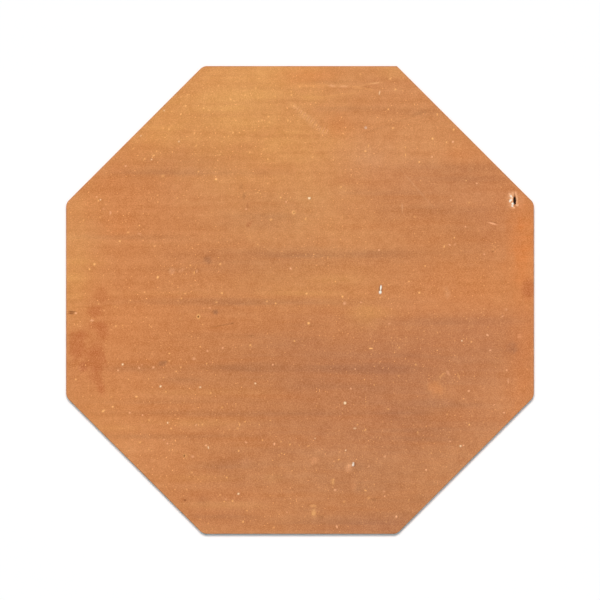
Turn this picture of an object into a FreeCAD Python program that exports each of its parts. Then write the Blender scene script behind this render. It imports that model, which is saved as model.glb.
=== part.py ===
# Octagonal terracotta floor tile: one piece of extruded clay, cut to a regular octagon and fired unglazed.
# The frame is in millimetres, with +Z up out of the wear face and +X and +Y square to two of the flat sides.
# The origin is the centre of the bedding face, which lies on the floor at Z = 0.

import FreeCAD, Part

import math
import os

# The slab
SIDES = 8
ACROSS_FLATS = 292.0
THICKNESS = 16.0

# The plan corners. The cutter left one of them crisper than the others.
CORNER_RADIUS = 7.0
CRISP_CORNER_RADIUS = 2.0
CRISP_CORNER = 1

# The long edges, eased where the wear face and the bedding face meet the sides
WEAR_ARRIS_RADIUS = 1.0
BEDDING_ARRIS_RADIUS = 0.6

# The blow hole, a slit in the wear face, left where a lime pebble burst out of the clay.
# Its place is measured to its centre from the side facing +X and from the next side anticlockwise.
BLOW_HOLE_LENGTH = 5.0
BLOW_HOLE_WIDTH = 1.7
BLOW_HOLE_DEPTH = 4.0
BLOW_HOLE_FROM_FIRST_SIDE = 12.2
BLOW_HOLE_FROM_SECOND_SIDE = 7.4

# How far a cutting tool stands above the face that it cuts
CUTTER_STANDS_PROUD = 1.0

STEP_FOLDER = "parts"

APOTHEM = ACROSS_FLATS / 2
TURN = 2 * math.pi / SIDES


def direction(angle):
    """A unit vector in plan, at an angle measured anticlockwise from +X."""
    return FreeCAD.Vector(math.cos(angle), math.sin(angle), 0)


def corner_radius(corner):
    """The plan radius of a corner. Corner 0 is the first one anticlockwise from +X."""
    if corner == CRISP_CORNER:
        return CRISP_CORNER_RADIUS
    return CORNER_RADIUS


def corner_points(corner):
    """Where a corner's arc starts, its middle and where it ends, from the side before it to the side after."""
    radius = corner_radius(corner)
    side_before = corner * TURN
    middle = side_before + TURN / 2
    side_after = side_before + TURN
    centre = direction(middle) * ((APOTHEM - radius) / math.cos(TURN / 2))
    return [centre + direction(angle) * radius for angle in (side_before, middle, side_after)]


def outline():
    """The octagon's closed outline at Z = 0: each corner's arc, and the straight side from it to the next."""
    corners = [corner_points(corner) for corner in range(SIDES)]
    edges = []
    for corner, (start, middle, end) in enumerate(corners):
        next_start = corners[(corner + 1) % SIDES][0]
        edges.append(Part.Arc(start, middle, end).toShape())
        edges.append(Part.LineSegment(end, next_start).toShape())
    return Part.Wire(edges)


def edges_at_height(solid, height):
    """The edges of a solid that lie in one level plane."""
    level = FreeCAD.Vector(0, 0, height)
    return [
        edge
        for edge in solid.Edges
        if all(abs((vertex.Point - level).z) < Part.Precision.confusion() for vertex in edge.Vertexes)
    ]


def slab():
    """The octagonal slab, with the arrises of both faces eased."""
    blank = Part.Face(outline()).extrude(FreeCAD.Vector(0, 0, THICKNESS))
    worn = blank.makeFillet(WEAR_ARRIS_RADIUS, edges_at_height(blank, THICKNESS))
    return worn.makeFillet(BEDDING_ARRIS_RADIUS, edges_at_height(worn, 0))


def blow_hole():
    """The blow hole as a solid to cut away: two arcs that meet in points, sunk into the wear face."""
    diagonal = direction(TURN)
    x = APOTHEM - BLOW_HOLE_FROM_FIRST_SIDE
    y = (APOTHEM - BLOW_HOLE_FROM_SECOND_SIDE - x * diagonal.x) / diagonal.y
    floor = FreeCAD.Vector(x, y, THICKNESS - BLOW_HOLE_DEPTH)
    half_length = FreeCAD.Vector(0, BLOW_HOLE_LENGTH / 2, 0)
    half_width = FreeCAD.Vector(BLOW_HOLE_WIDTH / 2, 0, 0)
    right = Part.Arc(floor - half_length, floor + half_width, floor + half_length)
    left = Part.Arc(floor + half_length, floor - half_width, floor - half_length)
    section = Part.Face(Part.Wire([right.toShape(), left.toShape()]))
    return section.extrude(FreeCAD.Vector(0, 0, BLOW_HOLE_DEPTH + CUTTER_STANDS_PROUD))


def terracotta_tile():
    """The whole tile."""
    return slab().cut(blow_hole())


def main():
    """Builds the tile and writes its STEP file, one for each node."""
    os.makedirs(STEP_FOLDER, exist_ok=True)
    nodes = {"terracotta_tile": terracotta_tile()}
    for name, shape in nodes.items():
        shape.exportStep(os.path.join(STEP_FOLDER, name + ".step"))
        print(name, "solids", len(shape.Solids), "valid", shape.isValid(), "cm3", round(shape.Volume / 1000, 1))


main()
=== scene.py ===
# Octagonal terracotta floor tile: its fired face, its relief and the studio that it lies in.
# Sizes and places on the tile are in millimetres from the centre of the bedding face, +X to the right and
# +Y up the picture. One call at the end of the build brings the finished mesh to the frame's metres.

import logging
import math
from collections.abc import Callable, Iterable
from dataclasses import dataclass
from enum import Enum
from typing import ClassVar

import bmesh
import bpy
import numpy as np
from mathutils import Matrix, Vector, kdtree, noise

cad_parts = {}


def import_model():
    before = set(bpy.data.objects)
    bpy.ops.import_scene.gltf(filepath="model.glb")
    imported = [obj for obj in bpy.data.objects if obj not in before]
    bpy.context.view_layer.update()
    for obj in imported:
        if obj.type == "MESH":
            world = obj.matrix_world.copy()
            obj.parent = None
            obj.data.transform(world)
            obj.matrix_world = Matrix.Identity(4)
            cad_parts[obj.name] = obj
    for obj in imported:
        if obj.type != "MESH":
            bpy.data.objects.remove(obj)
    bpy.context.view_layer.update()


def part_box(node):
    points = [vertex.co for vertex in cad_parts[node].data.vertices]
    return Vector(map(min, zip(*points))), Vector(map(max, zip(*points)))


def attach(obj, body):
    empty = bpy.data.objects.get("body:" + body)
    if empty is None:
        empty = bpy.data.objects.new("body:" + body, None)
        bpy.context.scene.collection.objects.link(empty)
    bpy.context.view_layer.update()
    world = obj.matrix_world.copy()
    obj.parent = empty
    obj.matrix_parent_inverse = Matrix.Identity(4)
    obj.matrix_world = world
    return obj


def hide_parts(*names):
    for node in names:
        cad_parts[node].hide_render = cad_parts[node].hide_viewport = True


LOG = logging.getLogger("terracotta_tile")
NODE = "terracotta_tile"
BODY = "root"
MM = 0.001
SIDES = 8
TURN = 2 * math.pi / SIDES

# How near to a cut a point counts as on it
CUT_TOLERANCE = 1e-4

# The layer of the mesh that tells cut clay from the wear face
CUT_LAYER = "cut"

# Settings that several nodes share
COLOURS = {"data_type": "RGBA"}
ADD = {"operation": "ADD"}
MULTIPLY = {"operation": "MULTIPLY"}
MULTIPLY_ADD = {"operation": "MULTIPLY_ADD"}
MAXIMUM = {"operation": "MAXIMUM"}
POWER = {"operation": "POWER"}
CLAMP = {"use_clamp": True}
SMOOTH = {"interpolation_type": "SMOOTHSTEP"}

# The colour sockets of a mix, by number, because its other kinds of socket share their names
MIX_FROM, MIX_TO, MIXED = 6, 7, 2

Tree = bpy.types.NodeTree
Socket = bpy.types.NodeSocket


def linear(code: str) -> tuple[float, float, float, float]:
    """Turns an sRGB hex colour into linear light, by the curve that sRGB is defined by.

    Args:
        code: the colour as #RRGGBB.

    Returns:
        Red, green, blue and a full alpha for a colour socket.
    """
    parts = [int(code[i : i + 2], 16) / 255 for i in (1, 3, 5)]
    light = [p / 12.92 if p <= 0.04045 else ((p + 0.055) / 1.055) ** 2.4 for p in parts]
    return (*light, 1.0)


def per_mm(size: float) -> float:
    """The scale of a texture on Object coordinates, in metres, whose features are this many millimetres."""
    return 1 / (size * MM)


def add_node(
    tree: Tree,
    kind: str,
    settings: dict[str, object] | None = None,
    inputs: dict[str | int, object] | None = None,
) -> bpy.types.Node:
    """Adds a node to a tree.

    Args:
        tree: the tree it goes into.
        kind: the node's type, without the ShaderNode that every type here starts with.
        settings: properties of the node by name.
        inputs: for each input, by name or number, the socket that is linked to it or its value.

    Returns:
        The node.
    """
    node = tree.nodes.new("ShaderNode" + kind)
    for name, value in (settings or {}).items():
        setattr(node, name, value)
    for name, value in (inputs or {}).items():
        if isinstance(value, Socket):
            tree.links.new(value, node.inputs[name])
        else:
            node.inputs[name].default_value = value
    return node


class Tone(Enum):
    """What the kiln, wear and chance laid over the clay, from the first layer to the last.

    Each is a colour, apart from CROWD, which says where the grains in the clay lie closer. SHADED_HOLE is
    painted shade inside the blow hole, and UMBER_AND_SHADE is dark clay in some marks and painted shade in
    pits, pin holes and cracks in others.
    """

    GOLD = "gold"
    EMBER = "ember"
    SMOKE = "smoke"
    BLOOM = "bloom"
    RUST = "rust"
    DUST = "dust"
    BLUSH = "blush"
    OCHRE = "ochre"
    CREAM = "cream"
    UMBER_AND_SHADE = "umber_and_shade"
    LIME = "lime"
    SHADED_HOLE = "shaded_hole"
    CROWD = "crowd"


@dataclass(frozen=True)
class Mark:
    """One patch of a tone on the wear face: an ellipse that fades at its edge.

    Attributes:
        tone: the colour layer that it is painted on.
        x: its centre, to the right of the tile's.
        y: its centre, up from the tile's.
        length: across the ellipse the long way, at half strength.
        width: across it the other way.
        turn: degrees anticlockwise from +X to its length.
        strength: how much of the tone it lays down, from 0 to 1.
        soft: how much of its half size the edge fades over, where 1 fades from the middle out.
        ragged: how far the edge strays, as a share of the half size.
        rise: how far it stands up from the face in the middle, or less than 0 where it is sunk.
        BOLD: the strength past which a mark needs the finer mesh.
        CELLS: how many faces a faint and a bold mark need across them.
        EDGE_WAVES: how many times the edge strays over the half size.
        EDGE_FRACTAL: roughness, step and number of the finer strays in it.
        SEED: what makes each mark's edge stray its own way, for each millimetre of its place.
    """

    tone: Tone
    x: float
    y: float
    length: float
    width: float
    turn: float = 0.0
    strength: float = 1.0
    soft: float = 1.0
    ragged: float = 0.25
    rise: float = 0.0

    BOLD: ClassVar[float] = 0.5
    CELLS: ClassVar[tuple[float, float]] = (1.4, 2.2)
    EDGE_WAVES: ClassVar[float] = 2.2
    EDGE_FRACTAL: ClassVar[tuple[float, float, int]] = (0.8, 2.1, 3)
    SEED: ClassVar[tuple[float, float]] = (0.37, 0.73)

    @property
    def reach(self) -> float:
        """How far from its centre the mark can touch the face."""
        return max(self.length, self.width) / 2 * (1 + self.soft + self.ragged)

    @property
    def detail(self) -> float:
        """How fine the mesh has to be to show the mark."""
        return min(self.length, self.width) / self.CELLS[self.strength > self.BOLD]

    def cover(self, places: np.ndarray) -> tuple[np.ndarray, np.ndarray]:
        """Works out where the mark lies.

        Args:
            places: the x and y of each point of the face, one row a point.

        Returns:
            The rows that it touches, and for each how full the mark is there, from 0 to 1.
        """
        angle = math.radians(self.turn)
        offset = places - (self.x, self.y)
        along = (offset[:, 0] * math.cos(angle) + offset[:, 1] * math.sin(angle)) * 2 / self.length
        across = (offset[:, 1] * math.cos(angle) - offset[:, 0] * math.sin(angle)) * 2 / self.width
        distance = np.hypot(along, across)
        rows = np.flatnonzero(distance < 1 + self.soft + self.ragged)
        if self.ragged:
            seed = self.x * self.SEED[0] + self.y * self.SEED[1]
            around = np.stack([along[rows], across[rows]], 1) * self.EDGE_WAVES
            stray = [noise.fractal((u, v, seed), *self.EDGE_FRACTAL) for u, v in around]
            distance[rows] += self.ragged * np.array(stray)
        fade = np.clip((1 + self.soft - distance[rows]) / (2 * self.soft), 0, 1)
        return rows, fade * fade * (3 - 2 * fade)


# How much of a streak's length lies between the places where it is at half strength
STREAK_CORE = 0.8

# The scratches of a rub: how wide they are, how far their lengths differ, and how fast that changes along it
RUB_WIDTH, RUB_SWAY, RUB_RATE = 0.6, 0.3, 7.0


def flash(
    tone: Tone, x: float, y: float, length: float, width: float, strength: float, turn: float = 0.0
) -> Mark:
    """A broad cloud of colour, where flame or ash lay against the face in the kiln."""
    return Mark(tone, x, y, length, width, turn, strength, soft=1.0, ragged=0.35)


def flame(tone: Tone, left: float, right: float, y: float, width: float, strength: float) -> Mark:
    """A long streak across the face, drawn out as the clay came through the die and darkened in the kiln."""
    length = (right - left) * STREAK_CORE
    return Mark(tone, (left + right) / 2, y, length, width, strength=strength, soft=1.0, ragged=0.3)


def fleck(
    tone: Tone, x: float, y: float, size: float, strength: float, tall: float = 1.0, turn: float = 0.0
) -> Mark:
    """A grain in the clay that shows at the face, a little proud of it."""
    return Mark(tone, x, y, size, size * tall, turn, strength, soft=0.42, ragged=0.3, rise=0.06)


def scratch(
    tone: Tone, start: tuple[float, float], end: tuple[float, float], width: float, strength: float
) -> Mark:
    """A thin line scraped into the face.

    Args:
        tone: the colour layer that it is painted on.
        start: where it starts.
        end: where it ends.
        width: how wide it is.
        strength: how much of the tone it lays down.

    Returns:
        The line as a mark.
    """
    across, up = end[0] - start[0], end[1] - start[1]
    x, y = (start[0] + end[0]) / 2, (start[1] + end[1]) / 2
    turn = math.degrees(math.atan2(up, across))
    length = math.hypot(across, up)
    return Mark(tone, x, y, length, width, turn, strength, soft=0.5, ragged=0.35, rise=-0.05)


def rub(
    tone: Tone,
    start: tuple[float, float],
    end: tuple[float, float],
    strokes: int,
    length: float,
    turn: float,
    strength: float,
) -> tuple[Mark, ...]:
    """A rub of short scratches side by side.

    Args:
        tone: the colour layer that it is painted on.
        start: the middle of the first scratch.
        end: the middle of the last one.
        strokes: how many there are.
        length: how long they are on average.
        turn: degrees anticlockwise from +X to the way that they run.
        strength: how much of the tone each lays down.

    Returns:
        The scratches.
    """
    marks = []
    for share in np.linspace(0, 1, strokes):
        x, y = (a + (b - a) * share for a, b in zip(start, end))
        reach = length * (1 + RUB_SWAY * math.sin(RUB_RATE * x))
        marks.append(Mark(tone, x, y, reach, RUB_WIDTH, turn, strength, soft=0.6, ragged=0.4, rise=-0.03))
    return tuple(marks)


def several(make: Callable[..., Mark], tone: Tone, *rows: tuple) -> tuple[Mark, ...]:
    """Marks of one kind and tone, each from a row with the rest of what its maker asks for."""
    return tuple(make(tone, *row) for row in rows)


# Broad colour from the kiln, and a few thin bands along the edges of painted highlight and painted shade:
# each cloud's x, y, length, width, strength and turn
FLASHES = (
    *several(
        flash, Tone.GOLD,
        (-40, 124, 104, 52, 0.56, 14), (-34, 137, 60, 24, 0.32), (-88, 104, 40, 22, 0.22, 40),
        (-10, 102, 56, 26, 0.25), (6, 78, 44, 46, 0.22), (-48, 74, 44, 20, 0.15), (18, 44, 60, 38, 0.14),
        (8, 10, 80, 24, 0.2), (-140, 28, 14, 46, 0.2), (-142, 8, 14, 18, 0.3), (41, -11, 18, 16, 0.25),
        (-124, -74, 40, 32, 0.1, -45), (58, 142, 18, 7, 0.3), (-17, -111, 9, 5, 0.2),
        (-138, 32, 30, 76, 0.2), (-142, -10, 14, 24, 0.12), (-80, 120, 24, 20, 0.15),
        (-92, 112, 50, 20, 0.06, 45), (70, 104, 70, 36, 0.08), (-26, 58, 60, 44, 0.17),
    ),
    *several(
        flash, Tone.EMBER,
        (140, 32, 16, 52, 0.75), (109, 4, 60, 34, 0.22), (24, 108, 14, 12, 0.25), (8, 140, 26, 10, 0.35),
        (-112, 62, 44, 50, 0.15), (-114, 48, 16, 12, 0.2), (-90, -12, 90, 60, 0.1), (138, -50, 16, 50, 0.4),
        (21, -130, 9, 4, 0.25), (142, -26, 14, 30, 0.35), (-122, -14, 56, 80, 0.14),
        (122, 50, 28, 44, 0.12), (-30, 139, 70, 22, 0.12), (-1, 139, 26, 14, 0.18), (101, 90, 22, 11, 0.25),
        (100, 60, 22, 9, 0.18), (-108, -86, 60, 40, 0.1, -45), (-97, 97, 110, 14, 0.12, 45),
    ),
    *several(
        flash, Tone.SMOKE,
        (53, -42, 150, 40, 0.28), (56, -42, 30, 16, 0.18), (78, -73, 64, 34, 0.32),
        (50, -120, 120, 60, 0.32), (58, -137, 50, 16, 0.22), (20, -100, 90, 40, 0.1),
        (96, 78, 56, 20, 0.17), (88, 56, 76, 22, 0.2), (109, 37, 36, 26, 0.15), (112, -30, 60, 36, 0.18),
        (-44, -101, 54, 22, 0.18), (-61, 87, 40, 14, 0.12), (-94, 82, 56, 14, 0.12),
        (-20, 56, 50, 26, 0.15), (-20, 24, 80, 22, 0.16), (0, -36, 130, 34, 0.2), (10, -78, 130, 50, 0.24),
        (70, -20, 40, 20, 0.06), (40, -122, 100, 40, 0.09), (108, -88, 40, 30, 0.09),
        # The long thin band at (100, -100) on the next row is painted shade along the lower right edge
        (66, 30, 54, 28, 0.08), (100, -100, 110, 8, 0.12, 45), (-76, -48, 54, 32, 0.07),
        (36, 74, 56, 30, 0.08), (4, 58, 44, 24, 0.07), (-10, -70, 60, 24, 0.06), (-16, 8, 130, 70, 0.1),
        (-24, -140, 96, 18, 0.16), (-62, -122, 50, 24, 0.1), (47, -143, 64, 8, 0.26),
    ),
    *several(
        flash, Tone.BLOOM,
        (72, -40, 140, 70, 0.1), (40, -84, 110, 34, 0.05), (60, 78, 40, 24, 0.05), (122, 50, 30, 44, 0.05),
        (-48, -128, 44, 30, 0.06), (112, -18, 60, 22, 0.06), (122, -72, 30, 30, 0.04),
        (108, 70, 60, 30, 0.05), (47, -141, 64, 10, 0.09),
    ),
    *several(flash, Tone.RUST, (122, 50, 30, 44, 0.05), (122, -44, 30, 60, 0.06), (140, -28, 16, 40, 0.07)),
    # Ochre bands along the top and upper left edges: a painted highlight where those edges face the lamps
    *several(flash, Tone.OCHRE, (0, 143, 130, 7, 0.08), (-101, 101, 110, 6, 0.03, 45)),
    *several(
        flash, Tone.DUST,
        (42, 90, 26, 16, 0.12), (66, 122, 96, 56, 0.07), (-100, -98, 46, 30, 0.05, -45),
        (4, 52, 80, 60, 0.06), (40, -98, 70, 22, 0.05), (122, -60, 24, 50, 0.06),
        (100, -100, 40, 30, 0.06, 45), (-30, 130, 70, 30, 0.05), (70, 88, 44, 34, 0.06),
        (-60, 68, 44, 28, 0.05), (-132, 40, 30, 22, 0.06), (0, -102, 64, 22, 0.05),
        (40, -122, 100, 40, 0.05), (102, 62, 36, 20, 0.06), (84, -60, 20, 14, 0.06),
    ),
)

# Streaks along the way that the clay was extruded: left end, right end, y, width and strength
FLAMES = (
    *several(
        flame, Tone.SMOKE,
        (-124, -40, 79.2, 3.2, 0.17), (-60, 4, 79.4, 3, 0.12), (0, 34, 136, 2.7, 0.18),
        (6, 62, 119.2, 2.7, 0.2), (58, 92, 117.4, 4.3, 0.24), (68, 132, 82.4, 4.6, 0.2),
        (74, 134, 76, 4.3, 0.24), (28, 80, 66.8, 3, 0.18), (48, 126, 56, 4.6, 0.2),
        (-38, 4, 52.4, 3.5, 0.14), (-140, -70, 39.4, 2.7, 0.17), (-66, 86, 28.6, 3.6, 0.17),
        (-70, 96, 27.4, 8.5, 0.13), (-22, 12, 27.6, 4.1, 0.18), (30, 68, 28.6, 3.5, 0.18),
        (-100, -58, 19.4, 2.7, 0.14), (-122, 66, -1.2, 3.8, 0.24), (-78, -14, -1.4, 4.2, 0.2),
        (-70, -40, -6.8, 2.4, 0.14), (50, 136, -12.8, 5, 0.32), (-10, 24, -15.6, 2.7, 0.14),
        (-80, -18, -22.4, 3, 0.18), (46, 86, -35.6, 3.2, 0.18), (-124, -82, -42.4, 4.3, 0.26),
        (-68, 0, -42.4, 3.8, 0.5), (-2, 80, -43, 4.6, 0.48), (40, 74, -43.8, 4.6, 0.27),
        (-92, -58, -50, 3, 0.18), (-16, 68, -53.6, 3.8, 0.2), (-130, -34, -63.6, 2.4, 0.18),
        (-124, 68, -70.6, 3, 0.33), (52, 86, -72.4, 6.2, 0.18), (78, 110, -65, 3.8, 0.24),
        (-130, -18, -85, 2.7, 0.27), (58, 102, -87.4, 4.1, 0.24), (-66, -24, -103.4, 6.4, 0.28),
        (28, 68, -116.8, 3.8, 0.14), (-76, -26, -135.4, 3, 0.24), (-10, 68, -138.6, 3.8, 0.19),
        (-56, 4, 48, 9, 0.13),
    ),
    *several(
        flame, Tone.GOLD,
        (-126, -54, 4.4, 2.4, 0.14), (-24, 30, 4.2, 2.4, 0.3), (8, 36, 13.2, 3.8, 0.2),
        (26, 62, -8.2, 5.7, 0.24), (-102, -8, -57.4, 3, 0.18), (-92, -32, -76, 4.1, 0.2),
        (-92, -34, -111, 3, 0.2), (-80, -20, -128, 4.1, 0.2), (-64, -20, 92.4, 3, 0.24),
        (-148, -120, 23, 3, 0.18), (-98, -70, 107.4, 4.1, 0.12), (-132, -98, -80, 2.4, 0.2),
    ),
    flame(Tone.EMBER, 16, 62, -131, 5, 0.22),
    *several(flame, Tone.UMBER_AND_SHADE, (-120, -52, 79.4, 3, 0.04), (-136, -74, 39.2, 2.6, 0.03)),
    *several(flame, Tone.OCHRE, (-122, -48, 76.2, 3.2, 0.05), (-136, -80, 35.6, 3, 0.03)),
)

# Iron stains at the left and right sides, and the smudge under the right one, in the order of Mark's fields
STAINS = (
    *several(
        Mark, Tone.RUST,
        (-130.5, -26, 24, 56, 0, 0.08, 0.8, 0.5), (-139.2, -27.4, 9.6, 18, 0, 0.44, 0.3, 0.35),
        (-136, -22, 9, 4.6, 12, 0.26, 0.45, 0.4), (-137.6, -33.6, 9.6, 5.4, 0, 0.18, 0.4, 0.4),
        (-132, -33, 11, 5.2, 0, 0.14, 0.45, 0.4), (-126.4, -16, 12.6, 5.6, 4, 0.36, 0.35, 0.4),
        (-123.4, -19.8, 7.4, 9.6, 0, 0.36, 0.4, 0.4), (-127.2, -30, 7.6, 9, 10, 0.28, 0.5, 0.4),
        (-127.2, -37.4, 11, 16, 6, 0.36, 0.35, 0.4), (-135.2, -42, 5.4, 6, 0, 0.46, 0.4, 0.3),
        (-126, -43, 5.6, 4.6, 0, 0.3, 0.45, 0.3), (-129.4, -46.6, 7, 7.4, 0, 0.3, 0.5, 0.4),
        (-125.2, -51.6, 4.8, 12.4, 16, 0.42, 0.4, 0.4), (-121.8, -37.6, 1.4, 9, 14, 0.4, 0.5, 0.4),
        (-123.6, -56.4, 4.4, 7, 8, 0.3, 0.5, 0.4), (-127.8, -6.9, 8.2, 7.6, 0, 0.46, 0.35, 0.4),
        (-124, 2.7, 9, 8.8, 0, 0.28, 0.5, 0.5), (142.2, 7, 8.4, 12, 0, 0.42, 0.4, 0.3),
        (143.2, 5.6, 4, 7, 0, 0.22, 0.6, 0.3),
    ),
    Mark(Tone.BLOOM, -135.4, -42, 5, 5.4, 0, 0.12, 0.5, 0.3),
    Mark(Tone.SMOKE, 132.6, -29.6, 6.4, 5.6, 0, 0.5, 0.6, 0.4),
)

# Dark spots, ticks, a hairline crack and a long drag line
SPOTS = (
    *several(
        Mark, Tone.SMOKE,
        (-57.7, 25.5, 4.8, 4.2, 0, 0.6, 0.6, 0.4), (-52.7, -7.5, 3.4, 2.4, -10, 0.75, 0.6, 0.4),
        (-85.8, -39.4, 5.6, 2.8, 16, 0.95, 0.5, 0.4), (36.2, -118.3, 3.2, 3.4, 0, 0.35, 0.8, 0.4),
        (37.4, -114.4, 2.6, 2, 0, 0.3, 0.8, 0.4), (-60.5, -125.2, 6, 5, 0, 0.2, 0.8, 0.4),
    ),
    *several(
        Mark, Tone.UMBER_AND_SHADE,
        (-84, -38.8, 2.2, 1.2, 15, 0.25, 0.7, 0.4), (-142.4, -7.4, 4, 1, 0, 0.7, 0.5, 0.4, -0.1),
        (-142.8, -8.5, 3.4, 0.9, 0, 0.65, 0.5, 0.4, -0.1), (-71.8, -125, 1.7, 1.2, 0, 0.6, 0.5, 0.3, -0.15),
        (-32.3, 46.5, 2.6, 1.4, 50, 0.18, 0.6, 0.3, -0.1), (-32.8, 58.8, 1.6, 3.2, -8, 0.16, 0.6, 0.4),
        (-34.9, 64.9, 1.9, 4.2, -10, 0.24, 0.6, 0.3), (-30.4, -22.4, 3, 1, -5, 0.42, 0.7, 0.4, -0.1),
        (46.2, -124.4, 2.8, 1.8, 0, 0.32, 0.6, 0.3, -0.08),
        (120.3, 30.2, 1.6, 0.9, 0, 0.35, 0.6, 0.3, -0.1), (-42.3, -14.6, 1.3, 1, 0, 0.4, 0.6, 0.2, -0.15),
        (-36.8, 71, 1.9, 4.4, 10, 0.15, 0.6, 0.3), (13.1, -135.7, 3.4, 2.4, 0, 0.24, 0.6, 0.3),
        (36.4, -104.8, 4, 5, 0, 0.1, 0.9, 0.4), (13.7, -98.6, 3.8, 3.2, 0, 0.1, 0.9, 0.4),
    ),
    *several(
        Mark, Tone.RUST,
        (-31.7, 47.2, 4.4, 2, 50, 0.4, 0.6, 0.4, -0.12), (-32.8, 58.8, 1.6, 3.2, -8, 0.3, 0.6, 0.4, -0.12),
    ),
    *several(
        scratch, Tone.UMBER_AND_SHADE,
        ((-55.2, -16.9), (-41.8, -14.5), 0.6, 0.34), ((34.3, 101.7), (79.2, 117.9), 1.4, 0.07),
        ((43.7, 105.2), (51.2, 108.4), 1.4, 0.06), ((70.2, 115.2), (79, 118.2), 2, 0.15),
    ),
)

# White lime grains, two of them in little pits; the pits are painted shade round the grains, and the face is
# not sunk there
LIME = (
    # Dark patches of painted shade round the two grains, for pits that are not sunk
    *several(
        Mark, Tone.UMBER_AND_SHADE,
        (50.3, 6.6, 2.3, 5.8, -3, 0.6, 0.25, 0.1), (34.1, -102.7, 1.5, 2.8, -4, 0.5, 0.3, 0.1),
    ),
    *several(
        Mark, Tone.LIME,
        (50.4, 7.6, 0.9, 3.4, -4, 1, 0.3, 0.05, 0.1), (50.1, 4.9, 1.6, 1.8, 20, 1, 0.3, 0.1, 0.15),
        (33.3, -101.8, 1.2, 1.2, -4, 0.6, 0.25, 0.05, 0.1),
        (33.1, -103, 1.3, 1.3, -4, 0.75, 0.25, 0.05, 0.1),
    ),
    fleck(Tone.LIME, 41.1, 107.5, 1.1, 0.4),
)

# Cream grains of burnt lime: x, y, size, strength, height over width, and turn
CREAM = several(
    fleck, Tone.CREAM,
    (-38.4, -120.9, 1.15, 0.8), (5.8, 63.6, 1.5, 1, 0.9), (-87, -53.9, 1.15, 1), (28.1, -64.3, 1.5, 1),
    (-110.7, -40.2, 1.15, 0.9, 0.9, -30), (-27.9, -52, 1.15, 0.8, 0.7, -30),
    (101, -25.4, 0.95, 0.9, 0.8, -30), (-57.2, -92, 0.55, 0.9, 3.4, 10), (49.6, 129.3, 0.65, 0.6, 3.8, -12),
    (-62.2, -54.4, 1.05, 0.7), (100.2, -91.1, 1.15, 0.8), (-84.8, 118.3, 0.85, 0.5),
    (-99.3, 102.5, 0.85, 0.5), (-75.6, 98.9, 0.85, 0.6), (-92.6, 87.7, 0.85, 0.7),
    (-124.5, 62.6, 0.85, 0.8), (28.5, -93.8, 0.85, 0.7), (-82.6, -76.6, 0.75, 0.8, 1.6),
    (34.2, -80.1, 1.9, 0.4, 0.5), (9.4, -86.3, 0.85, 0.5),
)

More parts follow.
